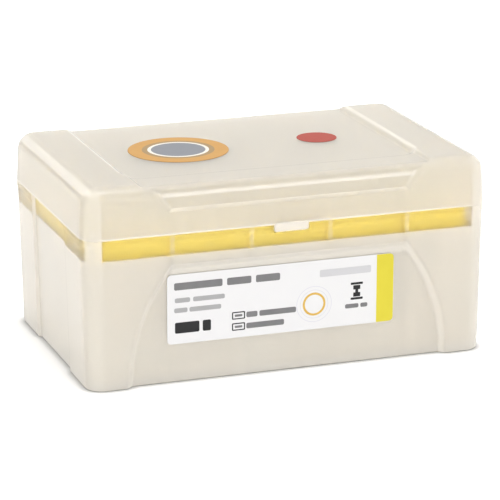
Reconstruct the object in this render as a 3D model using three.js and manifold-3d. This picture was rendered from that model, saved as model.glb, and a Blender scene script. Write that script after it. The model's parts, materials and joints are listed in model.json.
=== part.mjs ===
// Hinged box of filter pipette tips: base, lid, tray frame, rack with 96 tips, label and stickers.
// Millimetres, +Z up. The box stands on z = 0, its length runs along X and its hinge is at +Y.
import * as THREE from 'three';
import { ConvexGeometry } from 'three/addons/geometries/ConvexGeometry.js';
import { mergeVertices, toCreasedNormals } from 'three/addons/utils/BufferGeometryUtils.js';
import Module from 'manifold-3d';

const wasm = await Module();
wasm.setup();

// ---- Driving dimensions ----

// Grid of tips
const TIP_PITCH = 9;
const TIP_COLUMNS = 12;
const TIP_ROWS = 8;
const END_MARGIN = 12.5; // from the last column's centre to the end of the box
const SIDE_MARGIN = 8.3; // from the last row's centre to the front of the box

// Base and lid mouldings
const BASE_HEIGHT = 45;
const LID_HEIGHT = 14.3;
const CORNER_RADIUS = 6.1;
const BASE_DRAFT = 0.87; // how far the base wall leans in from rim to foot
const LID_DRAFT = 0.85; // how far the lid wall leans in from its edge to its top
const BASE_WALL = 1.4;
const BASE_FLOOR = 1.4;
const FOOT_EDGE = 0.5;
const RIM_HEIGHT = 1.1;
const RIM_PROUD = 0.2;
const LID_WALL = 1.2;
const LID_EDGE_RADIUS = 4.4;

// Locating lip inside the base rim
const LIP_HEIGHT = 1.4;
const LIP_DEPTH = 1.6;
const LIP_WALL = 0.9;
const LIP_LEAD = 0.25;

// Recessed panels of the base
const ARCH_DEPTH = 1.8;
const ARCH_HALF_WIDTH = 47.4; // of the arch's floor, at the foot
const ARCH_FLANK_RADIUS = 54.2;
const ARCH_TOP = 34.2;
const ARCH_STEP = 2;
const END_PANEL_WIDTH = 34.4;
const END_PANEL_DEPTH = 0.85;
const END_PANEL_STEP = 0.8;

// Lowered top and finger recess of the lid
const TOP_PANEL_WIDTH = 87.2;
const TOP_PANEL_DEPTH = 1.4;
const TOP_PANEL_STEP = 2.4;
const TOP_PANEL_CORNER = 4;
const FRONT_STRIP_LENGTH = 15;
const FRONT_STRIP_DEPTH = 0.7;
const FRONT_STRIP_STEP = 1.4;
const GRIP_DEPTH = 1.1;
const GRIP_FLOOR = { top: 11.6, bottom: 7.1, topWidth: 77.6, bottomWidth: 71.2 };
const GRIP_MOUTH = { top: 13.1, bottom: 6.4, topWidth: 84.4, bottomWidth: 74 };

// Latch tab on the lid's front edge
const TAB_WIDTH = 10.6;
const TAB_DROP = 2.4;
const TAB_THICKNESS = 1.2;
const TAB_PROUD = 0.4;
const TAB_ROOT = 1.2;

// Hinge at the back
const HINGE_SPACING = 64;
const HINGE_AXIS_OUT = 1; // from the back of the box to the hinge axis
const KNUCKLE_RADIUS = 2.2;
const KNUCKLE_LENGTH = 12;
const EAR_THICKNESS = 2.5;
const EAR_DROP = 8;
const PIN_RADIUS = 0.95;
const PIN_LENGTH = 2.2; // how far the pin goes into each ear

// Tip rack: the deck that the tips hang in
const DECK_DROP = 0.7; // from the base rim down to the deck
const DECK_THICKNESS = 1.2;
const DECK_END_INSET = 3.1; // from the frame's end to the deck's
const DECK_SIDE_INSET = 0.3;
const DECK_CORNER_RADIUS = 2;

// Tray frame, which carries the rack
const SKIRT_HEIGHT = 7; // from the top of the deck down to the skirt's lower edge
const SKIRT_WALL = 1.2;
const LEDGE_THICKNESS = 1.2;
const TRAY_CORNER_RADIUS = 3;
const TRAY_SIDE_GAP = 2;
const TRAY_END_GAP = 3.4;
const END_TAB_WIDTH = 33;

// Ribs of the base that carry the tray
const RIB_PITCH = 24;
const RIB_COUNT = 4;
const RIB_THICKNESS = 1.2;
const RIB_TOP_DROP = 0.8;

// Tips
const COLLAR_RADIUS = 3.7;
const COLLAR_HEIGHT = 7.7;
const BORE_RADIUS = 2.8;
const BORE_DEPTH = 7;
const SHAFT_RADIUS = 2.7;
const SHAFT_WAIST_RADIUS = 2.1;
const SHAFT_WAIST_DEPTH = 20;
const TIP_END_RADIUS = 0.6;
const TIP_FLOOR_GAP = 0.6;

// Paper pieces
const PAPER_THICKNESS = 0.2;
const LABEL_LENGTH = 69.8;
const LABEL_HEIGHT = 20.9;
const LABEL_CORNER = 1.4;
const LABEL_OFFSET = -2.2; // the label sits a little left of the middle
const LABEL_LIFT = 11.6;
const STICKER_RADIUS = 15.1;
const STICKER_PLACE = { x: -20, y: 4.2 };
const DOT_RADIUS = 6.1;
const DOT_PLACE = { x: 24.2, y: 4.6 };

// Clearances
const SEAM_GAP = 0.3;
const FIT_GAP = 0.3;
const PAPER_GAP = 0.1;

// Fineness of the curves
const CORNER_SEGMENTS = 4;
const EDGE_RINGS = 4;
const ARCH_SEGMENTS = 9;
const HINGE_SEGMENTS = 16;
const DISC_SEGMENTS = 40;
const COLLAR_SIDES = 8;
const SHAFT_SIDES = 6;
const CREASE_ANGLE = 0.5; // radians: flatter edges than this are shaded smooth

// ---- Places worked out from the driving dimensions ----

// Half the distances between the outer tips' centres
const tipSpan = { x: (TIP_COLUMNS - 1) * TIP_PITCH / 2, y: (TIP_ROWS - 1) * TIP_PITCH / 2 };

const LENGTH = 2 * (tipSpan.x + END_MARGIN);
const WIDTH = 2 * (tipSpan.y + SIDE_MARGIN);
const LID_BOTTOM = BASE_HEIGHT + SEAM_GAP;
const LID_TOP = LID_BOTTOM + LID_HEIGHT;
const CAVITY_FLOOR = BASE_FLOOR;
const DECK_TOP = BASE_HEIGHT - DECK_DROP;
const DECK_UNDERSIDE = DECK_TOP - DECK_THICKNESS;
const FRAME_TOP = DECK_UNDERSIDE - FIT_GAP;
const SKIRT_BOTTOM = DECK_TOP - SKIRT_HEIGHT;
const HINGE_Y = WIDTH / 2 + HINGE_AXIS_OUT;
const HINGE_Z = BASE_HEIGHT + SEAM_GAP / 2;
const REACH = 2 * LENGTH; // longer than any cut has to be
const OVERSHOOT = 1; // how far a cut runs past the face where it starts

// Half sizes of the base's walls at the rim, outside and inside
const baseWallOutside = { x: LENGTH / 2 - RIM_PROUD, y: WIDTH / 2 - RIM_PROUD };
const baseWallInside = { x: baseWallOutside.x - BASE_WALL, y: baseWallOutside.y - BASE_WALL };
const trayHalf = { x: baseWallInside.x - TRAY_END_GAP, y: baseWallInside.y - TRAY_SIDE_GAP };

// How much nearer the leaning wall is at the skirt's lower edge than at the rim
const leanAtSkirt = BASE_DRAFT * (BASE_HEIGHT - SKIRT_BOTTOM) / BASE_HEIGHT;

// ---- Solids ----

function solidOf(geometry) {
  const bare = geometry.clone();
  bare.deleteAttribute('normal');
  bare.deleteAttribute('uv');
  const merged = mergeVertices(bare);
  return new wasm.Manifold(new wasm.Mesh({
    numProp: 3,
    vertProperties: Float32Array.from(merged.attributes.position.array),
    triVerts: Uint32Array.from(merged.index.array),
  }));
}

function geometryOf(solid) {
  const mesh = solid.getMesh();
  const geometry = new THREE.BufferGeometry();
  geometry.setAttribute('position', new THREE.BufferAttribute(mesh.vertProperties, 3));
  geometry.setIndex(new THREE.BufferAttribute(mesh.triVerts, 1));
  return toCreasedNormals(geometry, CREASE_ANGLE);
}

function joined(first, others) {
  return others.reduce((whole, piece) => whole.add(piece), first);
}

function cutFrom(solid, cutters) {
  return cutters.reduce((rest, cutter) => rest.subtract(cutter), solid);
}

// ---- Basic forms ----

function roundedRectangle(length, width, radius) {
  const x = length / 2 - radius;
  const y = width / 2 - radius;
  const shape = new THREE.Shape();
  shape.absarc(x, y, radius, 0, Math.PI / 2);
  shape.absarc(-x, y, radius, Math.PI / 2, Math.PI);
  shape.absarc(-x, -y, radius, Math.PI, 1.5 * Math.PI);
  shape.absarc(x, -y, radius, 1.5 * Math.PI, 2 * Math.PI);
  shape.closePath();
  return shape;
}

function block(low, high) {
  const geometry = new THREE.BoxGeometry(high.x - low.x, high.y - low.y, high.z - low.z);
  return geometry.translate((low.x + high.x) / 2, (low.y + high.y) / 2, (low.z + high.z) / 2);
}

// A rounded block whose outline is drawn in by each level's inset at that level's height.
function roundedLoft(length, width, radius, levels) {
  const bands = levels.length - 1;
  const geometry = new THREE.ExtrudeGeometry(roundedRectangle(length, width, radius), {
    depth: 1,
    steps: bands,
    bevelEnabled: false,
    curveSegments: CORNER_SEGMENTS,
  });
  const position = geometry.attributes.position;
  for (let i = 0; i < position.count; i += 1) {
    const level = levels[Math.round(position.getZ(i) * bands)];
    const centreX = Math.sign(position.getX(i)) * (length / 2 - radius);
    const centreY = Math.sign(position.getY(i)) * (width / 2 - radius);
    const share = 1 - level.inset / radius;
    const x = centreX + (position.getX(i) - centreX) * share;
    const y = centreY + (position.getY(i) - centreY) * share;
    position.setXYZ(i, x, y, level.z);
  }
  return geometry;
}

// Levels up a leaning wall that turns over a round edge at its top.
function roundTopLevels(bottom, top, draft, edgeRadius) {
  const levels = [{ z: bottom, inset: 0 }];
  for (let ring = 0; ring <= EDGE_RINGS; ring += 1) {
    const angle = (ring / EDGE_RINGS) * Math.PI / 2;
    const z = top - edgeRadius * (1 - Math.sin(angle));
    const lean = draft * (z - bottom) / (top - bottom);
    levels.push({ z, inset: lean + edgeRadius * (1 - Math.cos(angle)) });
  }
  return levels;
}

// A prism that widens by a step from its floor, at z = -depth, to z = 0, and runs on upwards.
function steppedPrism(floorShape, depth, step, curveSegments) {
  return new THREE.ExtrudeGeometry(floorShape, {
    depth: REACH,
    steps: 1,
    bevelEnabled: true,
    bevelThickness: depth,
    bevelSize: step,
    bevelSegments: 1,
    curveSegments,
  });
}

// Moves a form drawn flat, as seen from outside a wall, onto that wall. Drawn +Y runs up the wall
// and +Z points out of it; the origin goes to the wall's middle at the given height.
function ontoWall(geometry, wall) {
  geometry.rotateX(Math.PI / 2 + wall.lean);
  geometry.translate(0, -wall.distance, wall.height);
  return geometry.rotateZ(wall.turn);
}

const baseLean = Math.atan(BASE_DRAFT / BASE_HEIGHT);
const lidLean = -Math.atan(LID_DRAFT / LID_HEIGHT);

const frontWall = { turn: 0, distance: baseWallOutside.y };
const backWall = { turn: Math.PI, distance: baseWallOutside.y };
const leftWall = { turn: -Math.PI / 2, distance: baseWallOutside.x };
const rightWall = { turn: Math.PI / 2, distance: baseWallOutside.x };

// Onto the outside of one of the base's walls, from the rim down, and moved into the box.
function ontoBaseWall(geometry, wall, inward) {
  return ontoWall(geometry, {
    turn: wall.turn,
    distance: wall.distance - inward,
    height: BASE_HEIGHT,
    lean: baseLean,
  });
}

// ---- Base ----

function baseOutside() {
  const rimBottom = BASE_HEIGHT - RIM_HEIGHT;
  const leanAt = (z) => BASE_DRAFT * (BASE_HEIGHT - z) / BASE_HEIGHT;
  return solidOf(roundedLoft(LENGTH, WIDTH, CORNER_RADIUS, [
    { z: 0, inset: RIM_PROUD + leanAt(0) + FOOT_EDGE },
    { z: FOOT_EDGE, inset: RIM_PROUD + leanAt(FOOT_EDGE) },
    { z: rimBottom - RIM_PROUD, inset: RIM_PROUD + leanAt(rimBottom - RIM_PROUD) },
    { z: rimBottom, inset: 0 },
    { z: BASE_HEIGHT, inset: 0 },
  ]));
}

function baseInside() {
  const inset = RIM_PROUD + BASE_WALL;
  const leanAtFloor = BASE_DRAFT * (BASE_HEIGHT - CAVITY_FLOOR) / BASE_HEIGHT;
  const leanAtMouth = -BASE_DRAFT * OVERSHOOT / BASE_HEIGHT;
  return solidOf(roundedLoft(LENGTH - 2 * inset, WIDTH - 2 * inset, CORNER_RADIUS - inset, [
    { z: CAVITY_FLOOR, inset: leanAtFloor },
    { z: BASE_HEIGHT + OVERSHOOT, inset: leanAtMouth },
  ]));
}

// The arch has two round flanks that stand upright at the foot, and a flat top.
function archShape() {
  const foot = -BASE_HEIGHT;
  const centreX = ARCH_HALF_WIDTH - ARCH_FLANK_RADIUS;
  const topAngle = Math.asin(ARCH_TOP / ARCH_FLANK_RADIUS);
  const shape = new THREE.Shape();
  shape.moveTo(-ARCH_HALF_WIDTH, foot - BASE_HEIGHT);
  shape.lineTo(ARCH_HALF_WIDTH, foot - BASE_HEIGHT);
  shape.absarc(centreX, foot, ARCH_FLANK_RADIUS, 0, topAngle);
  shape.absarc(-centreX, foot, ARCH_FLANK_RADIUS, Math.PI - topAngle, Math.PI);
  shape.closePath();
  return shape;
}

function endPanelShape() {
  const shape = new THREE.Shape();
  shape.moveTo(-END_PANEL_WIDTH / 2, -REACH);
  shape.lineTo(END_PANEL_WIDTH / 2, -REACH);
  shape.lineTo(END_PANEL_WIDTH / 2, REACH);
  shape.lineTo(-END_PANEL_WIDTH / 2, REACH);
  shape.closePath();
  return shape;
}

// The panels' cutters, moved into the box by the given amount.
function panelCutters(inward) {
  const arch = () => steppedPrism(archShape(), ARCH_DEPTH, ARCH_STEP, ARCH_SEGMENTS);
  const end = () => steppedPrism(endPanelShape(), END_PANEL_DEPTH, END_PANEL_STEP, 1);
  return [
    ontoBaseWall(arch(), frontWall, inward),
    ontoBaseWall(arch(), backWall, inward),
    ontoBaseWall(end(), leftWall, inward),
    ontoBaseWall(end(), rightWall, inward),
  ].map(solidOf);
}

// A ring inside the rim that stands up into the lid.
function locatingLip() {
  const inset = LID_WALL + FIT_GAP;
  const ring = (extra, bottom, top, lead) => solidOf(roundedLoft(
    LENGTH - 2 * (inset + extra),
    WIDTH - 2 * (inset + extra),
    CORNER_RADIUS - inset - extra,
    [{ z: bottom, inset: 0 }, { z: BASE_HEIGHT, inset: 0 }, { z: top, inset: lead }],
  ));
  const bottom = BASE_HEIGHT - LIP_DEPTH;
  const top = BASE_HEIGHT + LIP_HEIGHT;
  const bore = ring(LIP_WALL, bottom - OVERSHOOT, top + OVERSHOOT, 0);
  return ring(0, bottom, top, LIP_LEAD).subtract(bore);
}

// Each rib has a high part beside the tray's skirt and a shoulder under it.
function trayRibs() {
  const wallY = baseWallOutside.y - BASE_WALL / 2;
  const reachBeside = trayHalf.y + FIT_GAP;
  const reachUnder = trayHalf.y - SKIRT_WALL;
  const bottom = CAVITY_FLOOR - BASE_FLOOR / 2;
  const ribs = [];
  for (let i = 0; i < RIB_COUNT; i += 1) {
    const x = (i - (RIB_COUNT - 1) / 2) * RIB_PITCH;
    for (const side of [-1, 1]) {
      const rib = (reach, top) => solidOf(block(
        { x: x - RIB_THICKNESS / 2, y: Math.min(side * reach, side * wallY), z: bottom },
        { x: x + RIB_THICKNESS / 2, y: Math.max(side * reach, side * wallY), z: top },
      ));
      ribs.push(rib(reachBeside, BASE_HEIGHT - RIB_TOP_DROP));
      ribs.push(rib(reachUnder, SKIRT_BOTTOM - FIT_GAP));
    }
  }
  return ribs;
}

// ---- Hinge ----

const hingeCentres = [-HINGE_SPACING / 2, HINGE_SPACING / 2];

function hingeCylinder(centreX, radius, length) {
  const geometry = new THREE.CylinderGeometry(radius, radius, length, HINGE_SEGMENTS);
  return solidOf(geometry.rotateZ(Math.PI / 2).translate(centreX, HINGE_Y, HINGE_Z));
}

// The ear's outline, drawn with +X for the box's +Y, and +Y up.
function earShape() {
  const shape = new THREE.Shape();
  const wallY = WIDTH / 2 - BASE_WALL;
  shape.moveTo(wallY, HINGE_Z - EAR_DROP);
  shape.lineTo(WIDTH / 2 - RIM_PROUD, HINGE_Z - EAR_DROP);
  shape.lineTo(HINGE_Y + KNUCKLE_RADIUS, HINGE_Z);
  shape.absarc(HINGE_Y, HINGE_Z, KNUCKLE_RADIUS, 0, Math.PI);
  shape.lineTo(wallY, HINGE_Z - KNUCKLE_RADIUS);
  shape.closePath();
  const hole = new THREE.Path();
  hole.absarc(HINGE_Y, HINGE_Z, PIN_RADIUS + FIT_GAP, 0, 2 * Math.PI);
  shape.holes.push(hole);
  return shape;
}

function ear(lowX) {
  const geometry = new THREE.ExtrudeGeometry(earShape(), {
    depth: EAR_THICKNESS,
    bevelEnabled: false,
    curveSegments: HINGE_SEGMENTS / 2,
  });
  const turn = new THREE.Matrix4().makeBasis(
    new THREE.Vector3(0, 1, 0),
    new THREE.Vector3(0, 0, 1),
    new THREE.Vector3(1, 0, 0),
  );
  return solidOf(geometry.applyMatrix4(turn).translate(lowX, 0, 0));
}

const earStart = KNUCKLE_LENGTH / 2 + FIT_GAP;

function hingeEars() {
  return hingeCentres.flatMap((centre) => [
    ear(centre + earStart),
    ear(centre - earStart - EAR_THICKNESS),
  ]);
}

function knuckles() {
  const pinReach = KNUCKLE_LENGTH + 2 * (FIT_GAP + PIN_LENGTH);
  return hingeCentres.map((centre) => hingeCylinder(centre, KNUCKLE_RADIUS, KNUCKLE_LENGTH)
    .add(hingeCylinder(centre, PIN_RADIUS, pinReach)));
}

// Room in the base for the knuckles, and in the lid for the ears.
function knuckleRoom() {
  const radius = KNUCKLE_RADIUS + FIT_GAP;
  return hingeCentres.map((centre) => hingeCylinder(centre, radius, KNUCKLE_LENGTH + 2 * FIT_GAP));
}

function earRoom() {
  const radius = KNUCKLE_RADIUS + FIT_GAP;
  const middle = earStart + EAR_THICKNESS / 2;
  return hingeCentres.flatMap((centre) => [centre - middle, centre + middle])
    .map((x) => hingeCylinder(x, radius, EAR_THICKNESS + 2 * FIT_GAP));
}

// ---- Latch tab ----

function tabBlock(extra) {
  const front = -WIDTH / 2 - TAB_PROUD;
  return solidOf(block(
    { x: -TAB_WIDTH / 2 - extra, y: front - extra, z: LID_BOTTOM - TAB_DROP - extra },
    { x: TAB_WIDTH / 2 + extra, y: front + TAB_THICKNESS + extra, z: LID_BOTTOM + TAB_ROOT },
  ));
}

function baseSolid() {
  const outside = cutFrom(baseOutside(), panelCutters(0));
  const inside = cutFrom(baseInside(), panelCutters(BASE_WALL));
  const ribs = trayRibs().map((rib) => rib.intersect(outside));
  const whole = joined(outside.subtract(inside), [locatingLip(), ...ribs, ...hingeEars()]);
  return cutFrom(whole, [...knuckleRoom(), tabBlock(FIT_GAP)]);
}

// ---- Lid ----

const topPanelFront = -WIDTH / 2 + FRONT_STRIP_LENGTH;

// The lowered top: one panel open to the back, and a shallower strip in front of it.
function topCutters(down) {
  const panelLength = WIDTH;
  const panel = roundedRectangle(TOP_PANEL_WIDTH, panelLength, TOP_PANEL_CORNER);
  const strip = roundedRectangle(TOP_PANEL_WIDTH, panelLength, TOP_PANEL_CORNER);
  return [
    steppedPrism(panel, TOP_PANEL_DEPTH, TOP_PANEL_STEP, CORNER_SEGMENTS)
      .translate(0, topPanelFront + panelLength / 2, LID_TOP - down),
    steppedPrism(strip, FRONT_STRIP_DEPTH, FRONT_STRIP_STEP, CORNER_SEGMENTS)
      .translate(0, -panelLength / 2, LID_TOP - down),
  ].map(solidOf);
}

// The finger recess: a slanted mouth that narrows to a flat floor in the front wall.
function gripCutter(inward) {
  const outline = (face, out) => [
    new THREE.Vector3(-face.bottomWidth / 2, face.bottom, out),
    new THREE.Vector3(face.bottomWidth / 2, face.bottom, out),
    new THREE.Vector3(face.topWidth / 2, face.top, out),
    new THREE.Vector3(-face.topWidth / 2, face.top, out),
  ];
  const corners = [
    ...outline(GRIP_FLOOR, -GRIP_DEPTH),
    ...outline(GRIP_MOUTH, 0),
    ...outline(GRIP_MOUTH, LID_EDGE_RADIUS),
  ];
  return solidOf(ontoWall(new ConvexGeometry(corners), {
    turn: frontWall.turn,
    distance: WIDTH / 2 - inward,
    height: LID_BOTTOM,
    lean: lidLean,
  }));
}

function lidCutters(inward) {
  return [...topCutters(inward), gripCutter(inward)];
}

function lidSolid() {
  const outside = solidOf(roundedLoft(LENGTH, WIDTH, CORNER_RADIUS,
    roundTopLevels(LID_BOTTOM, LID_TOP, LID_DRAFT, LID_EDGE_RADIUS)));
  const insideTop = LID_TOP - LID_WALL;
  const insideLevels = roundTopLevels(LID_BOTTOM, insideTop, LID_DRAFT, LID_EDGE_RADIUS - LID_WALL);
  const inside = cutFrom(solidOf(roundedLoft(
    LENGTH - 2 * LID_WALL,
    WIDTH - 2 * LID_WALL,
    CORNER_RADIUS - LID_WALL,
    [{ z: LID_BOTTOM - OVERSHOOT, inset: 0 }, ...insideLevels],
  )), lidCutters(LID_WALL));
  const shell = cutFrom(outside, [...lidCutters(0), inside]);
  return cutFrom(joined(shell, [...knuckles(), tabBlock(0)]), earRoom());
}

// ---- Tray frame ----

// A flat plate that reaches half.x and half.y from the middle of the box.
function plate(half, cornerRadius, bottom, top) {
  const geometry = new THREE.ExtrudeGeometry(roundedRectangle(2 * half.x, 2 * half.y, cornerRadius), {
    depth: top - bottom,
    bevelEnabled: false,
    curveSegments: CORNER_SEGMENTS,
  });
  return solidOf(geometry.translate(0, 0, bottom));
}

function framePlate(drawnIn, bottom, top) {
  const half = { x: trayHalf.x - drawnIn, y: trayHalf.y - drawnIn };
  return plate(half, TRAY_CORNER_RADIUS - drawnIn, bottom, top);
}

// Tabs at the frame's ends reach the base's end panels.
function endTabs(drawnIn, bottom, top) {
  const reach = baseWallInside.x - END_PANEL_DEPTH - leanAtSkirt - FIT_GAP - drawnIn;
  const half = END_TAB_WIDTH / 2 - drawnIn;
  return solidOf(block({ x: -reach, y: -half, z: bottom }, { x: reach, y: half, z: top }));
}

// The window that the tips hang through leaves a ledge all round for the rack's deck.
function tipWindow() {
  const margin = SHAFT_RADIUS + FIT_GAP;
  const half = { x: tipSpan.x + margin, y: tipSpan.y + margin };
  return plate(half, DECK_CORNER_RADIUS, SKIRT_BOTTOM - OVERSHOOT, FRAME_TOP + OVERSHOOT);
}

function frameSolid() {
  const underside = FRAME_TOP - LEDGE_THICKNESS;
  const below = SKIRT_BOTTOM - OVERSHOOT;
  const outside = framePlate(0, SKIRT_BOTTOM, FRAME_TOP).add(endTabs(0, SKIRT_BOTTOM, FRAME_TOP));
  const inside = framePlate(SKIRT_WALL, below, underside).add(endTabs(SKIRT_WALL, below, underside));
  return cutFrom(outside, [inside, tipWindow()]);
}

// ---- Rack with its tips ----

// A tip's part above the deck, with its bore open down to the filter.
function tipCollar() {
  const top = DECK_TOP + COLLAR_HEIGHT;
  const middle = (DECK_TOP + DECK_UNDERSIDE) / 2;
  const profile = [
    new THREE.Vector2(0, middle),
    new THREE.Vector2(COLLAR_RADIUS, middle),
    new THREE.Vector2(COLLAR_RADIUS, top),
    new THREE.Vector2(BORE_RADIUS, top),
    new THREE.Vector2(BORE_RADIUS, top - BORE_DEPTH),
    new THREE.Vector2(0, top - BORE_DEPTH),
  ];
  return new THREE.LatheGeometry(profile, COLLAR_SIDES, Math.PI / COLLAR_SIDES).rotateX(Math.PI / 2);
}

// A tip's long tapering part below the deck.
function tipShaft() {
  const deckMiddle = (DECK_TOP + DECK_UNDERSIDE) / 2;
  const profile = [
    new THREE.Vector2(0, CAVITY_FLOOR + TIP_FLOOR_GAP),
    new THREE.Vector2(TIP_END_RADIUS, CAVITY_FLOOR + TIP_FLOOR_GAP),
    new THREE.Vector2(SHAFT_WAIST_RADIUS, DECK_TOP - SHAFT_WAIST_DEPTH),
    new THREE.Vector2(SHAFT_RADIUS, deckMiddle),
    new THREE.Vector2(0, deckMiddle),
  ];
  return new THREE.LatheGeometry(profile, SHAFT_SIDES).rotateX(Math.PI / 2);
}

function tipPlaces() {
  const places = [];
  for (let column = 0; column < TIP_COLUMNS; column += 1) {
    for (let row = 0; row < TIP_ROWS; row += 1) {
      places.push({ x: column * TIP_PITCH - tipSpan.x, y: row * TIP_PITCH - tipSpan.y });
    }
  }
  return places;
}

function rackSolid() {
  const half = { x: trayHalf.x - DECK_END_INSET, y: trayHalf.y - DECK_SIDE_INSET };
  const deck = plate(half, DECK_CORNER_RADIUS, DECK_UNDERSIDE, DECK_TOP);
  const collar = solidOf(tipCollar());
  const shaft = solidOf(tipShaft());
  const tips = tipPlaces().flatMap(({ x, y }) => [
    collar.translate([x, y, 0]),
    shaft.translate([x, y, 0]),
  ]);
  return joined(deck, tips);
}

// ---- Paper pieces ----

function labelGeometry() {
  const geometry = new THREE.ExtrudeGeometry(roundedRectangle(LABEL_LENGTH, LABEL_HEIGHT, LABEL_CORNER), {
    depth: PAPER_THICKNESS,
    bevelEnabled: false,
    curveSegments: CORNER_SEGMENTS,
  });
  const middleHeight = LABEL_LIFT + LABEL_HEIGHT / 2;
  geometry.translate(LABEL_OFFSET, middleHeight - BASE_HEIGHT, PAPER_GAP - ARCH_DEPTH);
  return ontoBaseWall(geometry, frontWall, 0);
}

function discGeometry(radius, place) {
  const geometry = new THREE.CylinderGeometry(radius, radius, PAPER_THICKNESS, DISC_SEGMENTS);
  const bottom = LID_TOP - TOP_PANEL_DEPTH + PAPER_GAP;
  return geometry.rotateX(Math.PI / 2).translate(place.x, place.y, bottom + PAPER_THICKNESS / 2);
}

// ---- The box ----

function piece(name, geometry, color, roughness) {
  const material = new THREE.MeshStandardMaterial({ color, roughness, metalness: 0 });
  const mesh = new THREE.Mesh(geometry, material);
  mesh.name = name;
  return mesh;
}

const box = new THREE.Group();
box.add(
  piece('base', geometryOf(baseSolid()), 0xebe4d1, 0.45),
  piece('lid', geometryOf(lidSolid()), 0xeee5d2, 0.45),
  piece('tray_frame', geometryOf(frameSolid()), 0xf2ce4a, 0.5),
  piece('tip_rack', geometryOf(rackSolid()), 0xf2ce4a, 0.5),
  piece('front_label', labelGeometry(), 0xf6f5f1, 0.6),
  piece('lid_sticker', discGeometry(STICKER_RADIUS, STICKER_PLACE), 0xdbb97d, 0.55),
  piece('red_dot', discGeometry(DOT_RADIUS, DOT_PLACE), 0xc86d61, 0.5),
);

// The origin is the middle of the whole footprint, hinge and latch tab included.
box.position.y = (TAB_PROUD - HINGE_AXIS_OUT - KNUCKLE_RADIUS) / 2;

export default box;
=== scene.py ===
"""Looks of a hinged box of pipette tips: frosted base and lid, yellow tray, tips and stickers."""
import json
import math

import bmesh
import bpy
import numpy as np
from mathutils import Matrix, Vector


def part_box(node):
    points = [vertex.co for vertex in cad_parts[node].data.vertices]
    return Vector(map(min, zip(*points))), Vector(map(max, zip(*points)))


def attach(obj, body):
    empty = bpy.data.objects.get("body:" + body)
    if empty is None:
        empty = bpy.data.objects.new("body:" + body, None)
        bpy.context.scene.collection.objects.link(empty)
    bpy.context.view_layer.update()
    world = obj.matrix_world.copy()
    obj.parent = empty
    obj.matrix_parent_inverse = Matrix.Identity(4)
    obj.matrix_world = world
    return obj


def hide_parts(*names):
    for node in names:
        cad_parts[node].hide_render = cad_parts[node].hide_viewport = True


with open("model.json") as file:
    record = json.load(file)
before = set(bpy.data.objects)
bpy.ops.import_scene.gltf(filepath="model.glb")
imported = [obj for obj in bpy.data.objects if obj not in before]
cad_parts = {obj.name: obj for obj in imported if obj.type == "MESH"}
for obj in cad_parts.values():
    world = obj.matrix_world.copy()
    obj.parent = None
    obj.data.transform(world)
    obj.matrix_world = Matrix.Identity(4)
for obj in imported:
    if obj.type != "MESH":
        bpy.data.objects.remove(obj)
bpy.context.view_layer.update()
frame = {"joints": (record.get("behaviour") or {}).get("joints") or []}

# Lengths are in millimetres, in the box's own axes: x and y from the middle of the mouldings, z up
# from the floor. to_frame() turns them into metres in the shared frame.
MM = 0.001

# ---- Sizes taken from the frame ----

hinge = Vector(frame["joints"][0]["pos_m"]) / MM
base_low, base_high = [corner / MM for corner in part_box("base")]
lid_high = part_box("lid")[1] / MM
frame_low, frame_high = [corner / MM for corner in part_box("tray_frame")]
rack_low, rack_high = [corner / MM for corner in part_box("tip_rack")]
label_low, label_high = [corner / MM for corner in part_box("front_label")]
sticker_low, sticker_high = [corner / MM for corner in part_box("lid_sticker")]
dot_low, dot_high = [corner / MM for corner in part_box("red_dot")]

SEAM_GAP = 0.3
HINGE_AXIS_OUT = 1.0
BACK_Y = hinge.y - HINGE_AXIS_OUT
MIDDLE_Y = (base_low.y + BACK_Y) / 2
HALF_WIDTH = (BACK_Y - base_low.y) / 2
HALF_LENGTH = base_high.x
RIM_Z = hinge.z - SEAM_GAP / 2
LID_Z = hinge.z + SEAM_GAP / 2
TOP_Z = lid_high.z
HINGE_Y = hinge.y - MIDDLE_Y
HINGE_Z = hinge.z

# ---- Sizes of the mouldings ----

CORNER = 6.1
FIT = 0.3  # room between parts that go into each other
CREASE = 0.03  # a steep step in a wall takes twice this width

# Base
BASE_DRAFT = 0.87
BASE_WALL = 1.4
BASE_FLOOR = 1.4
FOOT_RADIUS = 0.7
FLOOR_BEND = 1.6
RIM_PROUD = 0.2
RIM_HEIGHT = 1.1
RIM_BEVEL = 0.05
RIM_FADE = 2.4  # from the rim's top down to where the wall begins to swell
RIM_FLAT = 0.3  # over a recess deeper than this, the rim is no longer proud
LIP_INSET = 1.5
LIP_WALL = 0.9
LIP_HEIGHT = 1.4
LIP_DEPTH = 1.6
RIB_PLACES = (-36.0, -12.0, 12.0, 36.0)
RIB_HALF_THICKNESS = 0.6

# The recessed arch in each long wall of the base, and the recessed panel in each end wall
ARCH_DEPTH = 1.8
ARCH_HALF_WIDTH = 47.4
ARCH_RADIUS = 54.2
ARCH_TOP = 34.2
ARCH_STEP = 2.0
PANEL_HALF_WIDTH = 17.2
PANEL_DEPTH = 0.85
PANEL_STEP = 0.8

# Lid
LID_DRAFT = 0.85
LID_WALL = 1.2
LID_EDGE = 4.4
SEAM_SHOWN = 0.05  # the lid's edge comes this near to the rim

# The lowered top, the shallower strip between it and the front edge, and the finger recess
CHANNEL_HALF_WIDTH = 43.6
CHANNEL_DEPTH = 1.4
CHANNEL_STEP = 2.4
CHANNEL_CORNER = 4.0
CHANNEL_FRONT = HALF_WIDTH - 15
STRIP_DEPTH = 0.7
STRIP_STEP = 1.4
GRIP_DEPTH = 1.1
GRIP_FLOOR = {"top": 11.6, "bottom": 7.1, "half_top": 38.8, "half_bottom": 35.6}
GRIP_MOUTH = {"top": 13.1, "bottom": 6.4, "half_top": 42.2, "half_bottom": 37.0}

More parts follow.
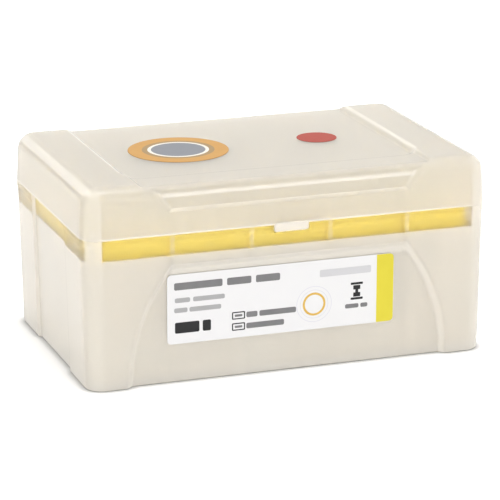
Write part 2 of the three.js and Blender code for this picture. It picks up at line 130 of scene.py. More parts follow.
# Latch tab
TAB_HALF_WIDTH = 5.3
TAB_DROP = 2.4
TAB_RISE = 0.3
TAB_THICKNESS = 1.2
TAB_PROUD = 0.4
TAB_CORNER = 0.8
TAB_GAP = 0.12

# Hinges
HINGE_PLACES = (-32.0, 32.0)
KNUCKLE_RADIUS = 2.2
KNUCKLE_HALF_LENGTH = 6.0
KNUCKLE_BEVEL = 0.25
EAR_THICKNESS = 2.5
EAR_DROP = 8.0
PIN_RADIUS = 0.95
PIN_LENGTH = 2.2
PIN_BEVEL = 0.2

# Tray
SKIRT_Z = frame_low.z
SKIRT_WALL = 1.2
FRAME_Z = frame_high.z
END_SPACE = 3.4  # between the base's end walls and the tray's skirt
FRAME_HALF = (HALF_LENGTH - RIM_PROUD - BASE_WALL - END_SPACE, (frame_high.y - frame_low.y) / 2)
FRAME_CORNER = 3.0
EDGE_Z = RIM_Z - 0.15
EDGE_WALL = 0.7
LEDGE = 1.2
END_TAB_HALF_WIDTH = 16.5
DECK_HALF = ((rack_high.x - rack_low.x) / 2, (rack_high.y - rack_low.y) / 2)
DECK_Z = RIM_Z - 0.7
DECK_THICKNESS = 1.2
DECK_CORNER = 2.0
DECK_INSET = 0.5
SOFT_EDGE = 0.2  # bevel on the tray's edges

# Tips
PITCH = 9.0
TIP_COLUMNS = 12
TIP_ROWS = 8
TIP_TOP = rack_high.z
TIP_END = rack_low.z
TIP_SEAT = DECK_Z + 0.7
FLUTE = 0.14
WINDOW_HALF = ((TIP_COLUMNS - 1) / 2 * PITCH + 3, (TIP_ROWS - 1) / 2 * PITCH + 3)
WINDOW_CORNER = 2.0

# Label and stickers
LABEL_THICKNESS = 0.2
LABEL_GAP = 0.1
INK = 0.015
STICKER_THICKNESS = 0.14
STICKER_GAP = 0.03
STICKER_BEVEL = 0.06


def to_frame(points):
    """Box coordinates in millimetres to metres in the shared frame."""
    return (np.asarray(points, float) + (0, MIDDLE_Y, 0)) * MM


# ---- Mesh building ----

def ramp(u, rounding=0.35):
    """From 0 to 1 as u goes from 0 to 1: straight in the middle, and rounded at both ends."""
    u = np.clip(u, 0, 1)
    smooth = u * u * (3 - 2 * u)
    return (1 - rounding) * u + rounding * smooth


def spread(stops, steps):
    """A sorted line of numbers: between each pair of stops, as many equal steps as given."""
    line = [stops[0]]
    for low, high, count in zip(stops, stops[1:], steps):
        line.extend(low + (high - low) * (i + 1) / count for i in range(count))
    return line


def mirrored(line):
    """The line and its mirror image about 0, sorted, without doubles."""
    both = sorted([-v for v in line] + list(line))
    kept = [both[0]]
    for value in both[1:]:
        if value - kept[-1] > 1e-6:
            kept.append(value)
    return kept


def crease_lines(places):
    """Two lines close together at each place, for a steep step."""
    return [place + step for place in places for step in (-CREASE, CREASE)]


def turns(count, shift=0):
    """Angles spread evenly over a full turn."""
    return [2 * math.pi * (i + shift) / count for i in range(count)]


def lifted(outline, z, x_shift=0):
    """A flat outline as a ring at height z."""
    return [(x_shift + x, y, z) for x, y in outline]


def rounded_outline(half_x, half_y, radius, steps=6):
    """A rectangle with round corners, about (0, 0)."""
    inner_x, inner_y = half_x - radius, half_y - radius
    corners = ((inner_x, inner_y, 0), (-inner_x, inner_y, 90),
               (-inner_x, -inner_y, 180), (inner_x, -inner_y, 270))
    points = []
    for cx, cy, start in corners:
        for i in range(steps + 1):
            angle = math.radians(start + 90 * i / steps)
            points.append((cx + radius * math.cos(angle), cy + radius * math.sin(angle)))
    return points


class Net:
    """Points and faces gathered from rings and grids, for one mesh."""

    def __init__(self):
        self.points, self.faces, self.kinds = [], [], []

    def add(self, points):
        start = len(self.points)
        self.points.extend(np.asarray(points, float).tolist())
        return start

    def face(self, corners, kind=0):
        """One face. kind is its material index."""
        self.faces.append(tuple(corners))
        self.kinds.append(kind)

    def tube(self, rings, kind=0, loop=False):
        """Joins closed rings of equal length in turn. With loop, the last joins the first."""
        starts = [self.add(ring) for ring in rings]
        count = len(rings[0])
        pairs = list(zip(starts, starts[1:])) + ([(starts[-1], starts[0])] if loop else [])
        for low, high in pairs:
            for i in range(count):
                j = (i + 1) % count
                self.face((low + i, low + j, high + j, high + i), kind)
        return starts, count

    def cap(self, start, count, kind=0):
        self.face(range(start, start + count), kind)

    def grid(self, rows):
        starts = [self.add(row) for row in rows]
        for low, high in zip(starts, starts[1:]):
            for i in range(len(rows[0]) - 1):
                self.face((low + i, low + i + 1, high + i + 1, high + i))

    def solid_tube(self, rings, kind=0):
        """A tube closed by a cap at each end."""
        starts, count = self.tube(rings, kind)
        self.cap(starts[0], count, kind)
        self.cap(starts[-1], count, kind)

    def middles(self):
        points = np.array(self.points)
        return [points[list(face)].mean(axis=0) for face in self.faces]

    def make(self, name, sharp=40):
        """The object: one mesh with merged points and outward faces, sharp above that angle."""
        mesh = bpy.data.meshes.new(name)
        mesh.from_pydata(to_frame(self.points).tolist(), [], self.faces)
        mesh.polygons.foreach_set("material_index", self.kinds)
        work = bmesh.new()
        work.from_mesh(mesh)
        bmesh.ops.remove_doubles(work, verts=work.verts, dist=2e-6)
        bmesh.ops.dissolve_degenerate(work, edges=work.edges, dist=1e-6)
        bmesh.ops.recalc_face_normals(work, faces=work.faces)
        work.to_mesh(mesh)
        work.free()
        mesh.shade_smooth()
        mesh.set_sharp_from_angle(angle=math.radians(sharp))
        piece = bpy.data.objects.new(name, mesh)
        bpy.context.scene.collection.objects.link(piece)
        return piece


FRONT, RIGHT, BACK, LEFT, CORNERS = range(5)


class Columns:
    """The upright lines round a rounded rectangle.

    point is where each stands, out is which way is outwards, side is its side of the box, and
    along is how far along that side it is.
    """

    def __init__(self, x_lines, y_lines):
        self.x_lines, self.y_lines = x_lines, y_lines
        inner_x, inner_y = HALF_LENGTH - CORNER, HALF_WIDTH - CORNER
        rows = [(x, -HALF_WIDTH, 0, -1, FRONT, x) for x in x_lines]
        rows += self.corner(inner_x, -inner_y, -90)
        rows += [(HALF_LENGTH, y, 1, 0, RIGHT, y) for y in y_lines]
        rows += self.corner(inner_x, inner_y, 0)
        rows += [(x, HALF_WIDTH, 0, 1, BACK, x) for x in reversed(x_lines)]
        rows += self.corner(-inner_x, inner_y, 90)
        rows += [(-HALF_LENGTH, y, -1, 0, LEFT, y) for y in reversed(y_lines)]
        rows += self.corner(-inner_x, -inner_y, 180)
        table = np.array(rows, float)
        self.point, self.out = table[:, :2], table[:, 2:4]
        self.side, self.along = table[:, 4], table[:, 5]

    @staticmethod
    def corner(x, y, start, steps=12):
        rows = []
        for i in range(1, steps):
            angle = math.radians(start + 90 * i / steps)
            out = (math.cos(angle), math.sin(angle))
            rows.append((x + CORNER * out[0], y + CORNER * out[1], *out, CORNERS, 0))
        return rows

    def ring(self, inset, z):
        """The ring drawn in by inset at height z. Both may differ from column to column."""
        inset = np.broadcast_to(inset, len(self.point))
        xy = self.point - inset[:, None] * self.out
        return np.column_stack([xy, np.broadcast_to(z, len(self.point))])


# ---- Finishes of the frosted mouldings ----

# By how much light the wall scatters. The milkier finishes also paint pale highlights along
# corners, edges and slopes, and the base's lower wall is left cloudier, which paints it lighter
# where it sits in shade.
CLOUDED_AND_LIGHTENED, CLEAR, MILKY_AND_HIGHLIGHT, THICK_AND_HIGHLIGHT, RIBBED = range(5)

# Below this height the base's wall lets less light through than the strip, which paints the lower
# base lighter where it sits in shade.
CLEAR_ABOVE = SKIRT_Z + 1.5  # the base's wall is clearer above this height
# The corner, edge, grip, channel and arch marks put a milkier finish where it paints pale
# highlights and lightens shaded slopes.
CORNER_MARK = {"start": 0.5, "slant": 0.6, "radius": 2.6}
LOWER_EDGE_MARK = 0.35
GRIP_MARK = {"reach": 3, "lower": 0.3, "upper": (1.2, 0.1), "ends": 0.6, "slope": (0.75, 0.99)}
CHANNEL_MARK = (0.6 * CHANNEL_STEP, CHANNEL_STEP + 0.1)
END_EDGE_MARK = {"reach": 3.4, "below_top": (2.2, 0.4)}
ARCH_MARK = {"reach": 1.1, "slope": (0.2, 0.92), "over_label": 0.05}
RIB_MARK = RIB_HALF_THICKNESS + 0.1


def finish(net, *rules):
    """Gives each face the finish of the last rule whose test its middle passes."""
    for i, middle in enumerate(net.middles()):
        for kind, test in rules:
            if test(*middle):
                net.kinds[i] = kind


def in_clear_strip(x, y, z):
    """The strip of the base where the yellow tray shows."""
    return z > CLEAR_ABOVE


def on_corner(x, y, z):
    """The upright corners are thicker than the walls, so they look milkier; their finish also
    paints the pale highlight that the corners catch.
    """
    dx, dy = abs(x) - HALF_LENGTH + CORNER, abs(y) - HALF_WIDTH + CORNER
    near = dx > CORNER_MARK["start"] and dy > CORNER_MARK["slant"] * dx
    return near and math.hypot(dx, dy) > CORNER_MARK["radius"]


def on_lower_edge(x, y, z):
    """The lid's lower edge shows as a pale line: a painted highlight."""
    return z < LID_Z + LOWER_EDGE_MARK


def on_grip_bottom(x, y, z):
    """So does the lower edge of the finger recess's floor, which faces up: a painted highlight."""
    at_edge = GRIP_FLOOR["bottom"] - GRIP_MARK["lower"] < z - LID_Z < GRIP_FLOOR["bottom"]
    return y < -HALF_WIDTH + GRIP_MARK["reach"] and at_edge and abs(x) < GRIP_FLOOR["half_bottom"]


def on_grip_top_or_end(x, y, z):
    """So do the floor's upper edge and the slopes at its ends: painted highlights."""
    height = z - LID_Z
    low, high = (GRIP_FLOOR["top"] - below for below in GRIP_MARK["upper"])
    upper = low < height < high and abs(x) < GRIP_FLOOR["half_top"] - GRIP_MARK["ends"]
    beside_floor = GRIP_FLOOR["bottom"] < height < GRIP_FLOOR["top"]
    end = beside_floor and GRIP_MARK["slope"][0] < grip_share(x, height) < GRIP_MARK["slope"][1]
    return y < -HALF_WIDTH + GRIP_MARK["reach"] and (upper or end)


def on_channel_edge(x, y, z):
    """So does the upper edge of the step round the lid's lowered top: a painted highlight."""
    outside = rounded_box_distance(x, y, CHANNEL_HALF_WIDTH, -CHANNEL_FRONT, CHANNEL_CORNER)
    return z > TOP_Z - LID_WALL - CHANNEL_DEPTH and CHANNEL_MARK[0] < outside < CHANNEL_MARK[1]


def on_end_edge(x, y, z):
    """The round edge along the top of each end of the lid gets a painted highlight, in a milkier
    finish.
    """
    low, high = (TOP_Z - below for below in END_EDGE_MARK["below_top"])
    return abs(x) > HALF_LENGTH - END_EDGE_MARK["reach"] and low < z < high


def on_arch_slope(x, y, z):
    """The slopes round the recessed arches and end panels get painted pale lines in place of the
    shade in their steps, and the arch's floor above the label is painted lighter where it lies in
    shade.
    """
    reach = ARCH_MARK["reach"]
    long_side = abs(y) > HALF_WIDTH - ARCH_DEPTH - reach and abs(x) < HALF_LENGTH - CORNER
    beside_panel = 0 < abs(y) - PANEL_HALF_WIDTH < PANEL_STEP
    on_panel = abs(x) > HALF_LENGTH - PANEL_DEPTH - reach and beside_panel
    share = arch_share(x, z)
    on_slope = ARCH_MARK["slope"][0] < share < ARCH_MARK["slope"][1]
    over_label = y < 0 and z > label_high.z and share > ARCH_MARK["over_label"]
    return on_panel or long_side and (on_slope or over_label)


def at_rib(x, z):
    return z > SKIRT_Z and min(abs(x - place) for place in RIB_PLACES) < RIB_MARK


def on_rib(x, y, z):
    """The ribs inside the long walls are clear, so that the yellow shows through them."""
    return abs(y) < HALF_WIDTH - BASE_WALL and at_rib(x, z)


def outside_rib(x, y, z):
    """Where a rib stands, the wall is thicker and shows as a pale line."""
    return abs(y) >= HALF_WIDTH - BASE_WALL and CLEAR_ABOVE < z < RIM_Z and at_rib(x, z)


# ---- Base ----

def arch_share(x, z):
    """1 on the arch's floor, 0 outside it."""
    flank = np.hypot(np.abs(x) + ARCH_RADIUS - ARCH_HALF_WIDTH, z) - ARCH_RADIUS
    top = z - ARCH_TOP
    outside = np.maximum(flank, top)
    return 1 - ramp(outside / ARCH_STEP)


def base_recess(columns, z):
    """How deep the base's outside is recessed, from its leaning wall, at height z."""
    x = columns.along
    arch = ARCH_DEPTH * arch_share(x, z)
    panel = PANEL_DEPTH * (1 - ramp((np.abs(x) - PANEL_HALF_WIDTH) / PANEL_STEP))
    depth = np.where((columns.side == FRONT) | (columns.side == BACK), arch, 0)
    return np.where((columns.side == RIGHT) | (columns.side == LEFT), panel, depth)


def base_notch(columns, z):
    """How far in from the rim the room for the latch tab and for the hinge knuckles goes."""
    x = columns.along
    beside_tab = (columns.side == FRONT) & (np.abs(x) < TAB_HALF_WIDTH + TAB_GAP)
    in_tab = beside_tab & (z > RIM_Z - TAB_DROP)
    depth = np.where(in_tab, TAB_THICKNESS - TAB_PROUD + TAB_GAP, 0.0)
    reach = (KNUCKLE_RADIUS + FIT) ** 2 - (z - HINGE_Z) ** 2
    if reach > 0:
        room = HALF_WIDTH - (HINGE_Y - math.sqrt(reach))
        for place in HINGE_PLACES:
            beside = np.abs(x - place) < KNUCKLE_HALF_LENGTH + FIT
            depth = np.where((columns.side == BACK) & beside, max(room, 0), depth)
    return depth


def base_wall_inset(z):
    return RIM_PROUD + BASE_DRAFT * (RIM_Z - z) / RIM_Z


def base_outside(columns):
    stations = []
    for i in range(5):
        angle = math.radians(90 * i / 4)
        inset = base_wall_inset(0) + FOOT_RADIUS * (1 - math.sin(angle))
        stations.append((inset, FOOT_RADIUS * (1 - math.cos(angle))))
    wall = spread((FOOT_RADIUS, ARCH_TOP - 0.4, ARCH_TOP + ARCH_STEP + 0.3, CLEAR_ABOVE,
                   RIM_Z - RIM_FADE), (34, 10, 3, 4))
    stations += [(base_wall_inset(z), z) for z in wall[1:]]
    for share in (0.15, 0.5, 0.85, 1):
        z = RIM_Z - RIM_FADE + (RIM_FADE - RIM_HEIGHT) * share
        stations.append(((1 - ramp(share, 1)) * RIM_PROUD, z))
    stations.append((0.0, RIM_Z - RIM_BEVEL))
    stations.append((RIM_BEVEL, RIM_Z))
    rings = []
    for inset, z in stations:
        recess = base_recess(columns, min(z, RIM_Z))
        proud = max(base_wall_inset(z) - inset, 0)
        drawn_in = inset + recess + proud * np.minimum(recess / RIM_FLAT, 1)
        rings.append(columns.ring(np.maximum(drawn_in, base_notch(columns, z)), z))
    return rings


def base_lip(columns):
    """The lip that stands on the rim, inside the lid, with rounded upper edges."""
    top = RIM_Z + LIP_HEIGHT
    stations = [
        (LIP_INSET, RIM_Z),
        (LIP_INSET, top - 0.4),
        (LIP_INSET + 0.12, top - 0.12),
        (LIP_INSET + 0.3, top),
        (LIP_INSET + LIP_WALL - 0.2, top),
        (LIP_INSET + LIP_WALL, top - 0.2),
        (LIP_INSET + LIP_WALL, RIM_Z - LIP_DEPTH),
    ]
    return [columns.ring(inset, z) for inset, z in stations]


def base_inside(columns):
    """The inside, down from the lip. The ribs are thin beside the tray and deeper under it."""
    below = SKIRT_Z - FIT
    beside_inset = HALF_WIDTH - FRAME_HALF[1] - FIT
    under_inset = HALF_WIDTH - FRAME_HALF[1] + SKIRT_WALL
    lines = spread((RIM_Z - LIP_DEPTH, CLEAR_ABOVE, below + 0.05, below - 0.15, ARCH_TOP - 0.4,
                    BASE_FLOOR + FLOOR_BEND), (3, 1, 1, 5, 16))
    stations = [(base_wall_inset(z) + BASE_WALL, z) for z in lines]
    for i in range(1, 5):
        angle = math.radians(90 * i / 4)
        z = BASE_FLOOR + FLOOR_BEND * (1 - math.sin(angle))
        stations.append((base_wall_inset(z) + BASE_WALL + FLOOR_BEND * (1 - math.cos(angle)), z))
    rings = []
    on_long_side = (columns.side == FRONT) | (columns.side == BACK)
    for inset, z in stations:
        drawn_in = inset + base_recess(columns, z)
        for place in RIB_PLACES:
            rib = on_long_side & (np.abs(columns.along - place) < RIB_HALF_THICKNESS)
            drawn_in = np.where(rib, beside_inset if z > below else under_inset, drawn_in)
        rings.append(columns.ring(drawn_in, z))
    return rings


def ear(net, low_x):
    """One hinge ear of the base, with its round hole."""
    wall_y, foot_y = HALF_WIDTH - BASE_WALL, HALF_WIDTH - RIM_PROUD
    outline = [(wall_y, HINGE_Z - EAR_DROP), (foot_y, HINGE_Z - EAR_DROP)]
    for i in range(1, 6):
        share = i / 5
        outline.append((
            foot_y + (HINGE_Y + KNUCKLE_RADIUS - HALF_WIDTH + RIM_PROUD) * share,
            HINGE_Z - EAR_DROP * (1 - share),
        ))
    for i in range(1, 17):
        angle = math.pi * i / 16
        outline.append((HINGE_Y + KNUCKLE_RADIUS * math.cos(angle),
                        HINGE_Z + KNUCKLE_RADIUS * math.sin(angle)))
    outline.append((wall_y, HINGE_Z - KNUCKLE_RADIUS))
    outline.append((wall_y, HINGE_Z - EAR_DROP / 2))
    hole = []
    for y, z in outline:
        angle = math.atan2(z - HINGE_Z, y - HINGE_Y)
        radius = PIN_RADIUS + FIT
        hole.append((HINGE_Y + radius * math.cos(angle), HINGE_Z + radius * math.sin(angle)))
    high_x = low_x + EAR_THICKNESS
    rings = [[(x, y, z) for y, z in line] for x, line in
             ((low_x, outline), (high_x, outline), (high_x, hole), (low_x, hole))]
    net.tube(rings, loop=True)


def make_base():
    creases = [place + side * RIB_HALF_THICKNESS for place in RIB_PLACES for side in (-1, 1)]
    creases.append(TAB_HALF_WIDTH + TAB_GAP)
    creases += [HINGE_PLACES[1] + side * (KNUCKLE_HALF_LENGTH + FIT) for side in (-1, 1)]
    smooth_lines = spread((0, 33, 50.5, HALF_LENGTH - CORNER), (12, 39, 3))
    x_lines = mirrored(smooth_lines + crease_lines(creases))
    y_lines = mirrored(spread((0, 16.9, 18.3, HALF_WIDTH - CORNER), (5, 8, 5)))
    columns = Columns(x_lines, y_lines)
    net = Net()
    starts, count = net.tube(base_outside(columns) + base_lip(columns) + base_inside(columns))
    net.cap(starts[0], count)
    net.cap(starts[-1], count)
    # The milkier finishes on the corners and arch slopes paint pale highlights.
    finish(net, (CLEAR, in_clear_strip), (THICK_AND_HIGHLIGHT, on_corner), (MILKY_AND_HIGHLIGHT, on_arch_slope),
           (CLEAR, on_rib), (RIBBED, outside_rib))
    before = len(net.faces)
    for place in HINGE_PLACES:
        ear(net, place + KNUCKLE_HALF_LENGTH + FIT)
        ear(net, place - KNUCKLE_HALF_LENGTH - FIT - EAR_THICKNESS)
    net.kinds[before:] = [MILKY_AND_HIGHLIGHT] * (len(net.faces) - before)
    return net.make("base_shell", sharp=35)


# ---- Lid ----

def rounded_box_distance(x, y, half_x, low_y, radius):
    """Distance outside a shape |x| < half_x, y > low_y whose two front corners are round."""
    dx = np.abs(x) - (half_x - radius)
    dy = (low_y + radius) - y
    outside = np.hypot(np.maximum(dx, 0), np.maximum(dy, 0)) - radius
    return np.minimum(np.maximum(dx, dy), 0) + outside


def top_drop(x, y):
    """How far the lid's top is lowered at (x, y)."""
    channel = rounded_box_distance(x, y, CHANNEL_HALF_WIDTH, -CHANNEL_FRONT, CHANNEL_CORNER)
    strip = np.abs(x) - CHANNEL_HALF_WIDTH
    near_front = ramp((2 * CHANNEL_CORNER - CHANNEL_FRONT - y) / (2 * CHANNEL_CORNER), 1)
    shallow = STRIP_DEPTH * (1 - ramp(strip / STRIP_STEP, 1)) * near_front
    return shallow + (CHANNEL_DEPTH - shallow) * (1 - ramp(channel / CHANNEL_STEP, 1))


def grip_share(x, height):
    """1 on the finger recess's floor, 0 outside its mouth. height is from the lid's lower edge."""
    def edge(mouth, floor, value):
        return ramp((value - mouth) / (floor - mouth))

    def half_length(shape):
        lean = (shape["half_top"] - shape["half_bottom"]) / (shape["top"] - shape["bottom"])
        return shape["half_bottom"] + lean * (height - shape["bottom"])

    bottom = edge(GRIP_MOUTH["bottom"], GRIP_FLOOR["bottom"], height)
    top = edge(GRIP_MOUTH["top"], GRIP_FLOOR["top"], height)
    half_mouth, half_floor = half_length(GRIP_MOUTH), half_length(GRIP_FLOOR)
    ends = ramp((half_mouth - np.abs(x)) / (half_mouth - half_floor))
    return np.minimum(np.minimum(bottom, top), ends)


def lid_skin(columns, depth):
    """The rings and the top grid of the lid's surface that lies depth below its outside."""
    radius = LID_EDGE - depth
    crown = TOP_Z - depth
    height = TOP_Z - LID_Z
    lower = spread((0, 0.3, GRIP_MOUTH["bottom"] - 0.3, GRIP_FLOOR["bottom"] + 0.3,
                    TOP_Z - LID_EDGE - LID_Z), (1, 4, 6, 5))
    stations = [(LID_DRAFT * h / height + depth, LID_Z + h) for h in lower]
    stations[0] = (depth, RIM_Z + SEAM_SHOWN)
    for i in range(1, 15):
        angle = math.radians(90 * i / 14)
        z = crown - radius * (1 - math.sin(angle))
        lean = LID_DRAFT * (z - LID_Z) / height
        stations.append((lean + depth + radius * (1 - math.cos(angle)), z))
    stations.append((CORNER, crown))
    at_ear = np.zeros(len(columns.along), bool)
    for place in HINGE_PLACES:
        from_knuckle = np.abs(columns.along - place) - KNUCKLE_HALF_LENGTH
        away = np.abs(from_knuckle - FIT - EAR_THICKNESS / 2)
        at_ear |= (columns.side == BACK) & (away < EAR_THICKNESS / 2 + FIT)
    over_ear = HINGE_Z + KNUCKLE_RADIUS + FIT
    rings = []
    for inset, z in stations:
        grip = GRIP_DEPTH * grip_share(columns.along, z - LID_Z) * (columns.side == FRONT)
        ring = columns.ring(inset + grip, z)
        ring[:, 2] = np.minimum(ring[:, 2], crown - top_drop(ring[:, 0], ring[:, 1]))
        ring[:, 2] = np.where(at_ear, np.maximum(ring[:, 2], over_ear), ring[:, 2])
        rings.append(ring)
    rows = []
    x = np.array(columns.x_lines)
    for line in columns.y_lines:
        y = np.full(len(x), line)
        rows.append(np.column_stack([x, y, crown - top_drop(x, y)]))
    return rings, rows


def knuckle(net, place):
    """A hinge barrel with its two pins, turned about the hinge axis."""
    end = KNUCKLE_HALF_LENGTH
    tip = end + FIT + PIN_LENGTH
    half = [
        (end - KNUCKLE_BEVEL, KNUCKLE_RADIUS),
        (end, KNUCKLE_RADIUS - KNUCKLE_BEVEL),
        (end, PIN_RADIUS),
        (tip - PIN_BEVEL, PIN_RADIUS),
        (tip, PIN_RADIUS - PIN_BEVEL),
    ]
    profile = [(-along, radius) for along, radius in reversed(half)] + half
    rings = []
    for along, radius in profile:
        rings.append([
            (place + along, HINGE_Y + radius * math.cos(t), HINGE_Z + radius * math.sin(t))
            for t in turns(32)
        ])
    net.solid_tube(rings)


def latch_tab(net):
    """The upright slab at the middle of the lid's front edge, with softened edges."""
    low_z, high_z = LID_Z - TAB_DROP, LID_Z + TAB_RISE
    low_y = -HALF_WIDTH - TAB_PROUD
    inner_x = TAB_HALF_WIDTH - TAB_CORNER
    corners = ((inner_x, high_z - TAB_CORNER, 0), (-inner_x, high_z - TAB_CORNER, 90),
               (-inner_x, low_z + TAB_CORNER, 180), (inner_x, low_z + TAB_CORNER, 270))
    rings = []
    stations = ((0, low_y + TAB_THICKNESS), (0, low_y + 0.35), (0.12, low_y + 0.1), (0.35, low_y))
    for inset, y in stations:
        radius = TAB_CORNER - inset
        ring = []
        for cx, cz, start in corners:
            for i in range(7):
                angle = math.radians(start + 15 * i)
                ring.append((cx + radius * math.cos(angle), y, cz + radius * math.sin(angle)))
        rings.append(ring)
    net.solid_tube(rings)


def make_lid():
    ear_sides = (KNUCKLE_HALF_LENGTH, KNUCKLE_HALF_LENGTH + EAR_THICKNESS + 2 * FIT)
    creases = [HINGE_PLACES[1] + side * edge for side in (-1, 1) for edge in ear_sides]
    smooth_lines = spread((0, 33.5, 47, HALF_LENGTH - CORNER), (12, 36, 3))
    x_lines = mirrored(smooth_lines + crease_lines(creases))
    y_lines = spread((-HALF_WIDTH + CORNER, -CHANNEL_FRONT - CHANNEL_STEP - 0.4,
                      -CHANNEL_FRONT + CHANNEL_CORNER + 0.4, HALF_WIDTH - CORNER), (7, 18, 18))
    columns = Columns(x_lines, y_lines)
    net = Net()
    outside_rings, outside_rows = lid_skin(columns, 0)
    inside_rings, inside_rows = lid_skin(columns, LID_WALL)
    net.tube(list(reversed(inside_rings)) + outside_rings)
    net.grid(outside_rows)
    net.grid(inside_rows)
    # The milkier finishes on the lid's corners, edges, grip and channel paint pale highlights.
    finish(net, (THICK_AND_HIGHLIGHT, on_corner), (THICK_AND_HIGHLIGHT, on_grip_bottom), (MILKY_AND_HIGHLIGHT, on_grip_top_or_end),
           (MILKY_AND_HIGHLIGHT, on_lower_edge), (MILKY_AND_HIGHLIGHT, on_channel_edge), (MILKY_AND_HIGHLIGHT, on_end_edge))
    before = len(net.faces)
    for place in HINGE_PLACES:
        knuckle(net, place)
    latch_tab(net)
    net.kinds[before:] = [MILKY_AND_HIGHLIGHT] * (len(net.faces) - before)
    return net.make("lid_shell", sharp=35)


# ---- Tray, tips and filters ----

def tip_places():
    for column in range(TIP_COLUMNS):
        for row in range(TIP_ROWS):
            yield (column - (TIP_COLUMNS - 1) / 2) * PITCH, (row - (TIP_ROWS - 1) / 2) * PITCH


def turned(net, place, profile, flutes=None):
    """A closed profile of (radius, z) turned about an upright axis in 20 steps.

    flutes, one for each point of the profile, draws every second step in a little.
    """
    rings = []
    for k, (radius, z) in enumerate(profile):
        ring = []
        for i, turn in enumerate(turns(20, 0.5)):
            r = radius - (flutes[k] if flutes and i % 2 else 0)
            ring.append((place[0] + r * math.cos(turn), place[1] + r * math.sin(turn), z))
        rings.append(ring)
    net.tube(rings, loop=True)


def make_tray():
    net = Net()
    half_x, half_y = FRAME_HALF

    # The skirt, the ledge round the window over the tips, and the raised edge, as one closed loop
    skirt = (
        (0.25, EDGE_Z), (0, EDGE_Z - 0.25), (0, SKIRT_Z + SOFT_EDGE), (0.15, SKIRT_Z),
        (SKIRT_WALL - 0.15, SKIRT_Z), (SKIRT_WALL, SKIRT_Z + SOFT_EDGE),
        (SKIRT_WALL, FRAME_Z - LEDGE),
    )
    rings = []
    for inset, z in skirt:
        outline = rounded_outline(half_x - inset, half_y - inset, FRAME_CORNER - inset)
        rings.append(lifted(outline, z))
    for widen, z in ((0, FRAME_Z - LEDGE), (0, FRAME_Z - SOFT_EDGE), (SOFT_EDGE, FRAME_Z)):
        window = rounded_outline(WINDOW_HALF[0] + widen, WINDOW_HALF[1] + widen,
                                 WINDOW_CORNER + widen)
        rings.append(lifted(window, z))
    edge = rounded_outline(half_x - EDGE_WALL, half_y - EDGE_WALL, FRAME_CORNER - EDGE_WALL)
    rings += [lifted(edge, FRAME_Z), lifted(edge, EDGE_Z)]
    net.tube(rings, loop=True)

    for side in (-1, 1):
        middle = side * (frame_high.x + half_x - SKIRT_WALL) / 2
        half = (frame_high.x - half_x + SKIRT_WALL) / 2
        rings = []
        for inset, z in ((0.3, FRAME_Z - 0.02), (0, FRAME_Z - 0.3),
                         (0, SKIRT_Z + SOFT_EDGE), (0.15, SKIRT_Z + 0.02)):
            tab = rounded_outline(half - inset, END_TAB_HALF_WIDTH - inset, 0.8)
            rings.append(lifted(tab, z, middle))
        net.solid_tube(rings)

    under = DECK_Z - DECK_THICKNESS
    rings = []
    for inset, z in ((SOFT_EDGE, under), (0, under + SOFT_EDGE),
                     (0, DECK_Z - SOFT_EDGE), (SOFT_EDGE, DECK_Z)):
        deck = rounded_outline(DECK_HALF[0] - DECK_INSET - inset, DECK_HALF[1] - DECK_INSET - inset,
                               DECK_CORNER - inset)
        rings.append(lifted(deck, z))
    net.solid_tube(rings)

    boss = [(2.95, DECK_Z - 0.2), (4.1, DECK_Z - 0.2), (4.0, DECK_Z + 0.5), (3.9, DECK_Z + 0.6),
            (3.05, DECK_Z + 0.6), (2.95, DECK_Z + 0.5)]
    for place in tip_places():
        turned(net, place, boss)
    return net.make("tray", sharp=35)


def make_tips():
    """The tips, each a closed profile up its outside and down its bore."""
    shaft = [(0.55, TIP_END), (0.62, TIP_END + 0.15), (1.25, 10), (1.8, 18), (2.1, 24.3),
             (2.4, 25.2), (2.6, 40), (2.68, TIP_SEAT - 0.05), (3.55, TIP_SEAT)]
    fluted = [(3.62, TIP_SEAT + 0.2), (3.7, TIP_TOP - 0.8)]
    mouth = [(3.66, TIP_TOP - 0.15), (3.5, TIP_TOP), (3.05, TIP_TOP), (2.85, TIP_TOP - 0.3)]
    bore = [(2.6, TIP_SEAT), (2.2, 40), (1.95, 25), (1.6, 23), (1.3, 18), (0.8, 10), (0.3, TIP_END)]
    flutes = [0] * len(shaft) + [FLUTE] * len(fluted) + [0] * len(mouth + bore)
    net = Net()
    for place in tip_places():
        turned(net, place, shaft + fluted + mouth + bore, flutes)
    # Faces above the deck take the head material, tinted yellow: painted light thrown up from the
    # yellow deck.
    net.kinds = [int(middle[2] > DECK_Z) for middle in net.middles()]
    return net.make("tips", sharp=50)


def make_filters():
    """A porous plug in each tip, from just over the deck down."""
    net = Net()
    top, bottom = DECK_Z + 0.6, DECK_Z - 5.5
    for x, y in tip_places():
        rings = []
        for radius, z in ((2.0, bottom), (2.15, bottom + 0.2), (2.45, top - 0.25), (2.25, top)):
            rings.append([(x + radius * math.cos(t), y + radius * math.sin(t), z)
                          for t in turns(16)])
        net.solid_tube(rings)
    return net.make("tip_filters")


# ---- Label and stickers ----

FRONT_LEAN = math.atan(BASE_DRAFT / RIM_Z)
LABEL_FACE = LABEL_GAP + LABEL_THICKNESS


def on_front(x, up, out):
    """A point on the leaning front wall.

    up is along the wall from the floor, and out is from the arch's floor.
    """
    down = RIM_Z - up
    depth = RIM_PROUD + ARCH_DEPTH - out
    y = -HALF_WIDTH + depth * math.cos(FRONT_LEAN) + down * math.sin(FRONT_LEAN)
    z = RIM_Z - down * math.cos(FRONT_LEAN) + depth * math.sin(FRONT_LEAN)
    return (x, y, z)


